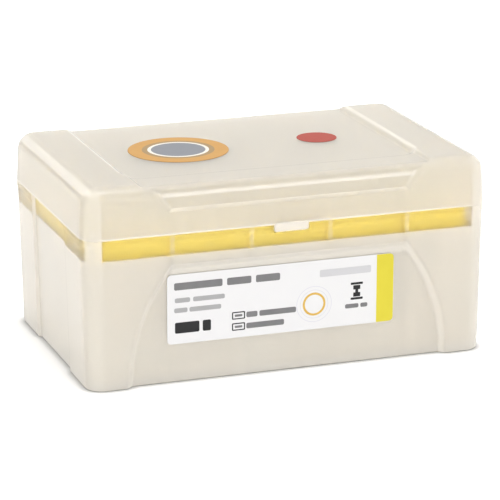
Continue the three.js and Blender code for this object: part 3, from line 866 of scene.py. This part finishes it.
class Print:
    """Flat printed shapes, each a thin layer on the label's face."""

    def __init__(self):
        self.net = Net()

    def layer(self, x, up, half_x, half_up, radius, low, high, kind, steps=5):
        """A rounded rectangle about (x, up), from low to high over the arch's floor."""
        outline = rounded_outline(half_x, half_up, radius, steps)
        rings = [[on_front(x + px, up + pz, out) for px, pz in outline] for out in (low, high)]
        self.net.solid_tube(rings, kind)

    def patch(self, x, up, width, height, radius, kind, level=1):
        """A printed rectangle. One at a higher level covers those below."""
        low, high = LABEL_FACE + (level - 1) * INK, LABEL_FACE + level * INK
        self.layer(x, up, width / 2, height / 2, radius, low, high, kind)

    def ring(self, x, up, radius, line, kind):
        section = (
            (radius - line / 2, LABEL_FACE),
            (radius + line / 2, LABEL_FACE),
            (radius + line / 2, LABEL_FACE + INK),
            (radius - line / 2, LABEL_FACE + INK),
        )
        rings = []
        for r, out in section:
            rings.append([on_front(x + r * math.cos(t), up + r * math.sin(t), out)
                          for t in turns(64)])
        self.net.tube(rings, kind, loop=True)


PAPER, STRIPE, BLACK, DARK, GREY, PALE, ORANGE, RING_GREY = range(8)

# Lines of plain bars in place of print, from the label's lower left corner: where the line
# begins, the height of its middle, the bars' height, the ink, and the length of each bar and gap
# in turn.
BAR_LINES = (
    (2.1, 17.3, 2.2, DARK, (14.6, 1.4, 7.4, 1.4, 7.4)),
    (2.3, 13.1, 1.4, GREY, (4.6, 0.9, 9.6)),
    (2.1, 10.1, 1.4, GREY, (4.0, 0.6, 9.6)),
    (2.3, 4.8, 3.3, BLACK, (7.4, 1.0, 2.5)),
    (24.0, 6.7, 1.7, DARK, (3.4, 0.6, 11.3)),
    (24.0, 3.3, 1.7, DARK, (11.6,)),
    (54.6, 5.9, 1.3, DARK, (4.2, 0.6, 2.2)),
    (46.6, 16.8, 2.2, PALE, (16.0,)),
)
BOX_LINES = (6.7, 3.3)  # the heights of the two outlined boxes
# The stacked shape, from top to bottom: width, height, and how far above the shape's middle
STACK = ((3.8, 0.7, 2.3), (2.2, 1.3, 1.1), (0.9, 1.2, 0), (2.2, 1.3, -1.1), (3.8, 0.7, -2.3))


def make_label():
    half_x = (label_high.x - label_low.x) / 2
    middle_x = (label_high.x + label_low.x) / 2
    height = (label_high.z - label_low.z) / math.cos(FRONT_LEAN)
    up = RIM_Z - (RIM_Z - (label_low.z + label_high.z) / 2) / math.cos(FRONT_LEAN)
    left, right, low = middle_x - half_x, middle_x + half_x, up - height / 2
    page = Print()
    page.layer(middle_x, up, half_x, height / 2, 1.3, LABEL_GAP, LABEL_FACE, PAPER, steps=8)
    page.patch(right - 2.7, up, 5.2, height - 0.1, 1.25, STRIPE)
    page.patch(right - 4.4, up, 2.0, height - 0.1, 0.05, STRIPE, 2)
    for start, middle, tall, kind, runs in BAR_LINES:
        x = left + start
        for i, run in enumerate(runs):
            if i % 2 == 0:
                page.patch(x + run / 2, low + middle, run, tall, min(tall / 2, 0.5) * 0.9, kind)
            x += run
    for middle in BOX_LINES:
        page.patch(left + 21.6, low + middle, 4.0, 2.3, 0.3, BLACK)
        page.patch(left + 21.6, low + middle, 3.3, 1.6, 0.15, PAPER, 2)
        page.patch(left + 21.6, low + middle, 2.3, 0.7, 0.15, DARK, 3)
    for width, tall, lift in STACK:
        page.patch(left + 58.2, low + 10.4 + lift, width, tall, 0.2, BLACK)
    page.ring(left + 44.9, low + 7.7, 3.2, 0.65, ORANGE)
    for radius in (4.3, 5.4):
        page.ring(left + 44.9, low + 7.7, radius, 0.14, RING_GREY)
    return page.net.make("label", sharp=30)


def ringed_disc(name, solid_low, solid_high, bands):
    """A round sticker close on the lid's top, printed in rings.

    Each band is (outer radius as a share, material index).
    """
    radius = (solid_high.x - solid_low.x) / 2
    x, y = (solid_low.x + solid_high.x) / 2, (solid_low.y + solid_high.y) / 2 - MIDDLE_Y
    low = TOP_Z - CHANNEL_DEPTH + STICKER_GAP
    high = low + STICKER_THICKNESS
    segments = 96
    net = Net()

    def circle(r, z):
        return [(x + r * math.cos(t), y + r * math.sin(t), z) for t in turns(segments)]

    net.tube([circle(radius, low), circle(radius, high - STICKER_BEVEL),
              circle(radius - STICKER_BEVEL, high)], bands[0][1])
    net.cap(net.add(circle(radius, low)), segments, bands[0][1])
    shares = [1 - STICKER_BEVEL / radius] + [share for share, _ in bands[1:]]
    for outer, inner, (_, kind) in zip(shares, shares[1:], bands):
        net.tube([circle(outer * radius, high), circle(inner * radius, high)], kind)
    net.cap(net.add(circle(shares[-1] * radius, high)), segments, bands[-1][1])
    return net.make(name, sharp=30)


# ---- Materials ----

def srgb(red, green, blue):
    """An sRGB colour, from 0 to 255, as Blender's linear colour."""
    def linear(value):
        value /= 255
        return value / 12.92 if value <= 0.04045 else ((value + 0.055) / 1.055) ** 2.4
    return (linear(red), linear(green), linear(blue), 1)


class Material:
    """A Principled material whose colour, roughness and bump can come from noise."""

    def __init__(self, name, color, roughness, **sockets):
        self.material = bpy.data.materials.new(name)
        self.material.use_nodes = True
        self.tree = self.material.node_tree
        self.shader = self.tree.nodes["Principled BSDF"]
        self.shader.inputs["Base Color"].default_value = color
        self.shader.inputs["Roughness"].default_value = roughness
        for socket, value in sockets.items():
            self.shader.inputs[socket.replace("_", " ")].default_value = value
        self.color = color

    def node(self, kind, **values):
        made = self.tree.nodes.new(kind)
        for name, value in values.items():
            setattr(made, name, value)
        return made

    def noise(self, per_mm, detail=3.0):
        place = self.node("ShaderNodeTexCoord")
        texture = self.node("ShaderNodeTexNoise")
        texture.inputs["Scale"].default_value = per_mm / MM
        texture.inputs["Detail"].default_value = detail
        self.tree.links.new(place.outputs["Object"], texture.inputs["Vector"])
        return texture.outputs["Fac"]

    def vary_color(self, per_mm, other, detail=3.0):
        """The colour drifts between its own and another by noise."""
        mix = self.node("ShaderNodeMix", data_type="RGBA")
        mix.inputs["A"].default_value = self.color
        mix.inputs["B"].default_value = other
        self.tree.links.new(self.noise(per_mm, detail), mix.inputs["Factor"])
        self.tree.links.new(mix.outputs["Result"], self.shader.inputs["Base Color"])

    def vary_roughness(self, per_mm, low, high):
        """The roughness drifts over the range. Noise keeps mostly between 0.3 and 0.7."""
        spread_out = self.node("ShaderNodeMapRange")
        spread_out.inputs["From Min"].default_value = 0.3
        spread_out.inputs["From Max"].default_value = 0.7
        spread_out.inputs["To Min"].default_value = low
        spread_out.inputs["To Max"].default_value = high
        self.tree.links.new(self.noise(per_mm), spread_out.inputs["Value"])
        self.tree.links.new(spread_out.outputs["Result"], self.shader.inputs["Roughness"])

    def bump(self, per_mm, height_mm, detail=3.0):
        relief = self.node("ShaderNodeBump")
        relief.inputs["Strength"].default_value = 1.0
        relief.inputs["Distance"].default_value = height_mm * MM
        self.tree.links.new(self.noise(per_mm, detail), relief.inputs["Height"])
        self.tree.links.new(relief.outputs["Normal"], self.shader.inputs["Normal"])


def frosted(name, transmission, index, roughness, color=srgb(254, 251, 243), coat=0.8):
    """Milky polypropylene: some light scatters in the wall and some goes through it, blurred."""
    made = Material(name, color, roughness, Transmission_Weight=transmission, IOR=index,
                    Coat_Weight=coat, Coat_Roughness=0.16)
    made.vary_color(0.03, srgb(254, 248, 238))
    made.vary_roughness(0.4, roughness - 0.03, roughness + 0.03)
    made.bump(1.6, 0.01)
    return made.material


def yellow_plastic():
    made = Material("yellow_polypropylene", srgb(254, 237, 112), 0.38)
    made.vary_color(0.05, srgb(252, 232, 102))
    made.bump(1.2, 0.015)
    return made.material


def tip_plastic(name, color):
    """Clear plastic, drawn nearly opaque: the colour stands for what shows through it."""
    made = Material(name, color, 0.3, Transmission_Weight=0.1, IOR=1.49)
    made.bump(0.8, 0.01)
    return made.material


def filter_fibre():
    made = Material("porous_filter", srgb(250, 250, 247), 0.9)
    made.vary_color(2.5, srgb(236, 236, 231), 6.0)
    made.bump(3.0, 0.12, 6.0)
    return made.material


def printed(name, color, drift):
    """Smooth printed paper, whose colour drifts a little."""
    made = Material(name, color, 0.6, Specular_IOR_Level=0.2)
    made.vary_color(0.25, drift)
    made.bump(4.0, 0.004)
    return made.material


def dress(piece, *materials):
    for material in materials:
        piece.data.materials.append(material)
    return piece


def build():
    """The pieces. Each one's materials are in the order of its faces' kinds."""
    clear = frosted("frosted_clear", 0.98, 1.2, 0.78, coat=0.2)
    # Besides the thicker parts, these two finishes paint pale highlights on corners, edges and
    # slopes.
    milky_and_highlight = frosted("frosted_milky_and_highlight", 0.34, 1.4, 0.7)
    thick_and_highlight = frosted("frosted_thick_and_highlight", 0.5, 1.4, 0.7, srgb(253, 250, 241))
    ribbed = frosted("frosted_rib", 0.8, 1.3, 0.78, coat=0.2)
    # Less clear than the strip above, which paints the lower base lighter where it sits in shade.
    clouded_and_lightened = frosted("frosted_base", 0.56, 1.4, 0.9)
    base = dress(make_base(), clouded_and_lightened, clear, milky_and_highlight, thick_and_highlight, ribbed)
    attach(base, "box_body")
    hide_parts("base")

    lid = dress(make_lid(), frosted("frosted_lid", 0.66, 1.4, 0.95), clear, milky_and_highlight, thick_and_highlight)
    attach(lid, "cover")
    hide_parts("lid")

    tray = dress(make_tray(), yellow_plastic())
    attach(tray, "box_body")
    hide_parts("tray_frame", "tip_rack")

    shaft = tip_plastic("tip_shaft", srgb(254, 253, 250))
    # The heads' yellow tint is painted light from the yellow deck below them.
    tips = dress(make_tips(), shaft, tip_plastic("tip_head_yellow_light", srgb(254, 248, 210)))
    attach(tips, "box_body")
    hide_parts("tip_rack")

    filters = dress(make_filters(), filter_fibre())
    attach(filters, "box_body")

    inks = (
        printed("label_paper", srgb(236, 236, 237), srgb(233, 233, 236)),
        printed("label_yellow", srgb(226, 213, 72), srgb(220, 207, 66)),
        printed("ink_black", srgb(40, 40, 42), srgb(52, 52, 54)),
        printed("ink_dark", srgb(118, 118, 120), srgb(134, 134, 136)),
        printed("ink_grey", srgb(166, 166, 168), srgb(178, 178, 180)),
        printed("ink_pale", srgb(204, 204, 208), srgb(212, 212, 216)),
        printed("ink_orange", srgb(222, 184, 92), srgb(216, 176, 84)),
        printed("ink_ring_grey", srgb(212, 212, 224), srgb(218, 218, 228)),
    )
    label = dress(make_label(), *inks)
    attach(label, "box_body")
    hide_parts("front_label")

    orange = printed("sticker_orange", srgb(207, 162, 99), srgb(199, 152, 89))
    tan = printed("sticker_tan", srgb(175, 147, 106), srgb(163, 140, 106))
    white = printed("sticker_white", srgb(238, 235, 226), srgb(232, 228, 218))
    grey = printed("sticker_grey", srgb(144, 147, 153), srgb(136, 139, 146))
    bands = ((1.0, 0), (0.72, 1), (0.61, 2), (0.54, 3))
    sticker = dress(ringed_disc("ring_sticker", sticker_low, sticker_high, bands),
                    orange, tan, white, grey)
    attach(sticker, "cover")
    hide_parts("lid_sticker")

    red = printed("sticker_red", srgb(181, 90, 79), srgb(171, 79, 69))
    dot = dress(ringed_disc("red_sticker", dot_low, dot_high, ((1.0, 0), (0.9, 0))), red)
    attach(dot, "cover")
    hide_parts("red_dot")


# ---- Floor, light and camera ----

FLOOR_HALF = 3.0  # in metres
FLOOR_COLOR = (0.92, 0.92, 0.92, 1)
# The painted shadow beside the box: its colour, and how far it reaches in millimetres.
CONTACT_SHADOW_COLOR = (0.12, 0.11, 0.1, 1)
CONTACT_SHADOW_REACH = 2.5
FLOOR_GLOW = 0.23
WORLD_COLOR = (1.0, 0.985, 0.96, 1)
WORLD_STRENGTH = 0.95

# Each lamp's place and size in metres, and its power in watts
LAMPS = {
    "key": ((0.05, -1.2, 0.45), 0.8, 1.6),
    "top": ((0.1, -0.12, 1.3), 0.4, 5.0),
    "back": ((-0.9, 1.1, 0.8), 1.0, 1.5),
    "side": ((-1.2, -0.4, 0.5), 0.3, 0.1),
}
LAMP_TARGET = (0, 0, 0.03)

CAMERA_LENS = 199.76
CAMERA_AZIMUTH = math.radians(-19.14)
CAMERA_ELEVATION = math.radians(16.12)
CAMERA_ROLL = math.radians(-0.19)
CAMERA_TARGET = Vector((1.12, MIDDLE_Y, 26.2)) * MM
CAMERA_DISTANCE = 0.8394


def seen_directly(tree):
    """1 for rays from the camera, off a mirror or through glass, 0 for light on matt surfaces."""
    path = tree.nodes.new("ShaderNodeLightPath")
    total = path.outputs["Is Camera Ray"]
    for kind in ("Is Glossy Ray", "Is Transmission Ray"):
        larger = tree.nodes.new("ShaderNodeMath")
        larger.operation = "MAXIMUM"
        tree.links.new(total, larger.inputs[0])
        tree.links.new(path.outputs[kind], larger.inputs[1])
        total = larger.outputs[0]
    return total


def painted_contact_shadow(made):
    """The painted shadow where the box meets the floor: 1 on the open floor and towards 0 right
    beside the box, for camera rays only.
    """
    contact_shadow = made.node("ShaderNodeAmbientOcclusion", samples=8)
    contact_shadow.inputs["Distance"].default_value = CONTACT_SHADOW_REACH * MM
    path = made.node("ShaderNodeLightPath")
    shade = made.node("ShaderNodeMix", data_type="FLOAT")
    shade.inputs["A"].default_value = 1.0
    made.tree.links.new(path.outputs["Is Camera Ray"], shade.inputs["Factor"])
    made.tree.links.new(contact_shadow.outputs["AO"], shade.inputs["B"])
    return shade.outputs["Result"]


def make_floor():
    """A white floor, with a glow that only the camera sees and a dark line beside the box: a
    painted shadow where the box meets it.
    """
    mesh = bpy.data.meshes.new("floor")
    half = FLOOR_HALF
    corners = [(-half, -half, 0), (half, -half, 0), (half, half, 0), (-half, half, 0)]
    mesh.from_pydata(corners, [], [(0, 1, 2, 3)])
    floor = bpy.data.objects.new("floor", mesh)
    bpy.context.scene.collection.objects.link(floor)
    made = Material("floor_white", FLOOR_COLOR, 0.9)
    links = made.tree.links
    contact_shadow = painted_contact_shadow(made)
    tone = made.node("ShaderNodeMix", data_type="RGBA")
    tone.inputs["A"].default_value = CONTACT_SHADOW_COLOR
    tone.inputs["B"].default_value = FLOOR_COLOR
    links.new(contact_shadow, tone.inputs["Factor"])
    links.new(tone.outputs["Result"], made.shader.inputs["Base Color"])
    dimmed = made.node("ShaderNodeMath", operation="MULTIPLY")
    dimmed.inputs[1].default_value = FLOOR_GLOW
    links.new(contact_shadow, dimmed.inputs[0])
    glow = made.node("ShaderNodeEmission")
    links.new(dimmed.outputs[0], glow.inputs["Strength"])
    add = made.node("ShaderNodeAddShader")
    mix = made.node("ShaderNodeMixShader")
    links.new(made.shader.outputs[0], add.inputs[0])
    links.new(glow.outputs[0], add.inputs[1])
    links.new(seen_directly(made.tree), mix.inputs[0])
    links.new(made.shader.outputs[0], mix.inputs[1])
    links.new(add.outputs[0], mix.inputs[2])
    links.new(mix.outputs[0], made.tree.nodes["Material Output"].inputs["Surface"])
    mesh.materials.append(made.material)


def make_world():
    """Soft warm light all round, seen directly as plain white."""
    world = bpy.data.worlds.new("studio")
    world.use_nodes = True
    bpy.context.scene.world = world
    tree = world.node_tree
    tree.nodes.clear()
    soft = tree.nodes.new("ShaderNodeBackground")
    soft.inputs["Color"].default_value = WORLD_COLOR
    soft.inputs["Strength"].default_value = WORLD_STRENGTH
    white = tree.nodes.new("ShaderNodeBackground")
    white.inputs["Strength"].default_value = 1.0
    mix = tree.nodes.new("ShaderNodeMixShader")
    out = tree.nodes.new("ShaderNodeOutputWorld")
    tree.links.new(seen_directly(tree), mix.inputs[0])
    tree.links.new(soft.outputs[0], mix.inputs[1])
    tree.links.new(white.outputs[0], mix.inputs[2])
    tree.links.new(mix.outputs[0], out.inputs["Surface"])


def aim(thing, place, target):
    thing.location = place
    towards = Vector(target) - Vector(place)
    thing.rotation_euler = towards.to_track_quat("-Z", "Y").to_euler()


def make_lamps():
    for name, (place, size, power) in LAMPS.items():
        data = bpy.data.lights.new(name, "AREA")
        data.size = size
        data.energy = power
        lamp = bpy.data.objects.new(name, data)
        bpy.context.scene.collection.objects.link(lamp)
        aim(lamp, place, LAMP_TARGET)


def make_camera():
    data = bpy.data.cameras.new("camera")
    data.sensor_width = 36
    data.lens = CAMERA_LENS
    camera = bpy.data.objects.new("camera", data)
    bpy.context.scene.collection.objects.link(camera)
    away = Vector((
        math.sin(CAMERA_AZIMUTH) * math.cos(CAMERA_ELEVATION),
        -math.cos(CAMERA_AZIMUTH) * math.cos(CAMERA_ELEVATION),
        math.sin(CAMERA_ELEVATION),
    ))
    aim(camera, CAMERA_TARGET + CAMERA_DISTANCE * away, CAMERA_TARGET)
    camera.rotation_euler.rotate_axis("Z", CAMERA_ROLL)
    bpy.context.scene.camera = camera


build()
make_floor()
make_world()
make_lamps()
make_camera()
bpy.context.scene.view_settings.view_transform = "Standard"

bpy.context.view_layer.update()
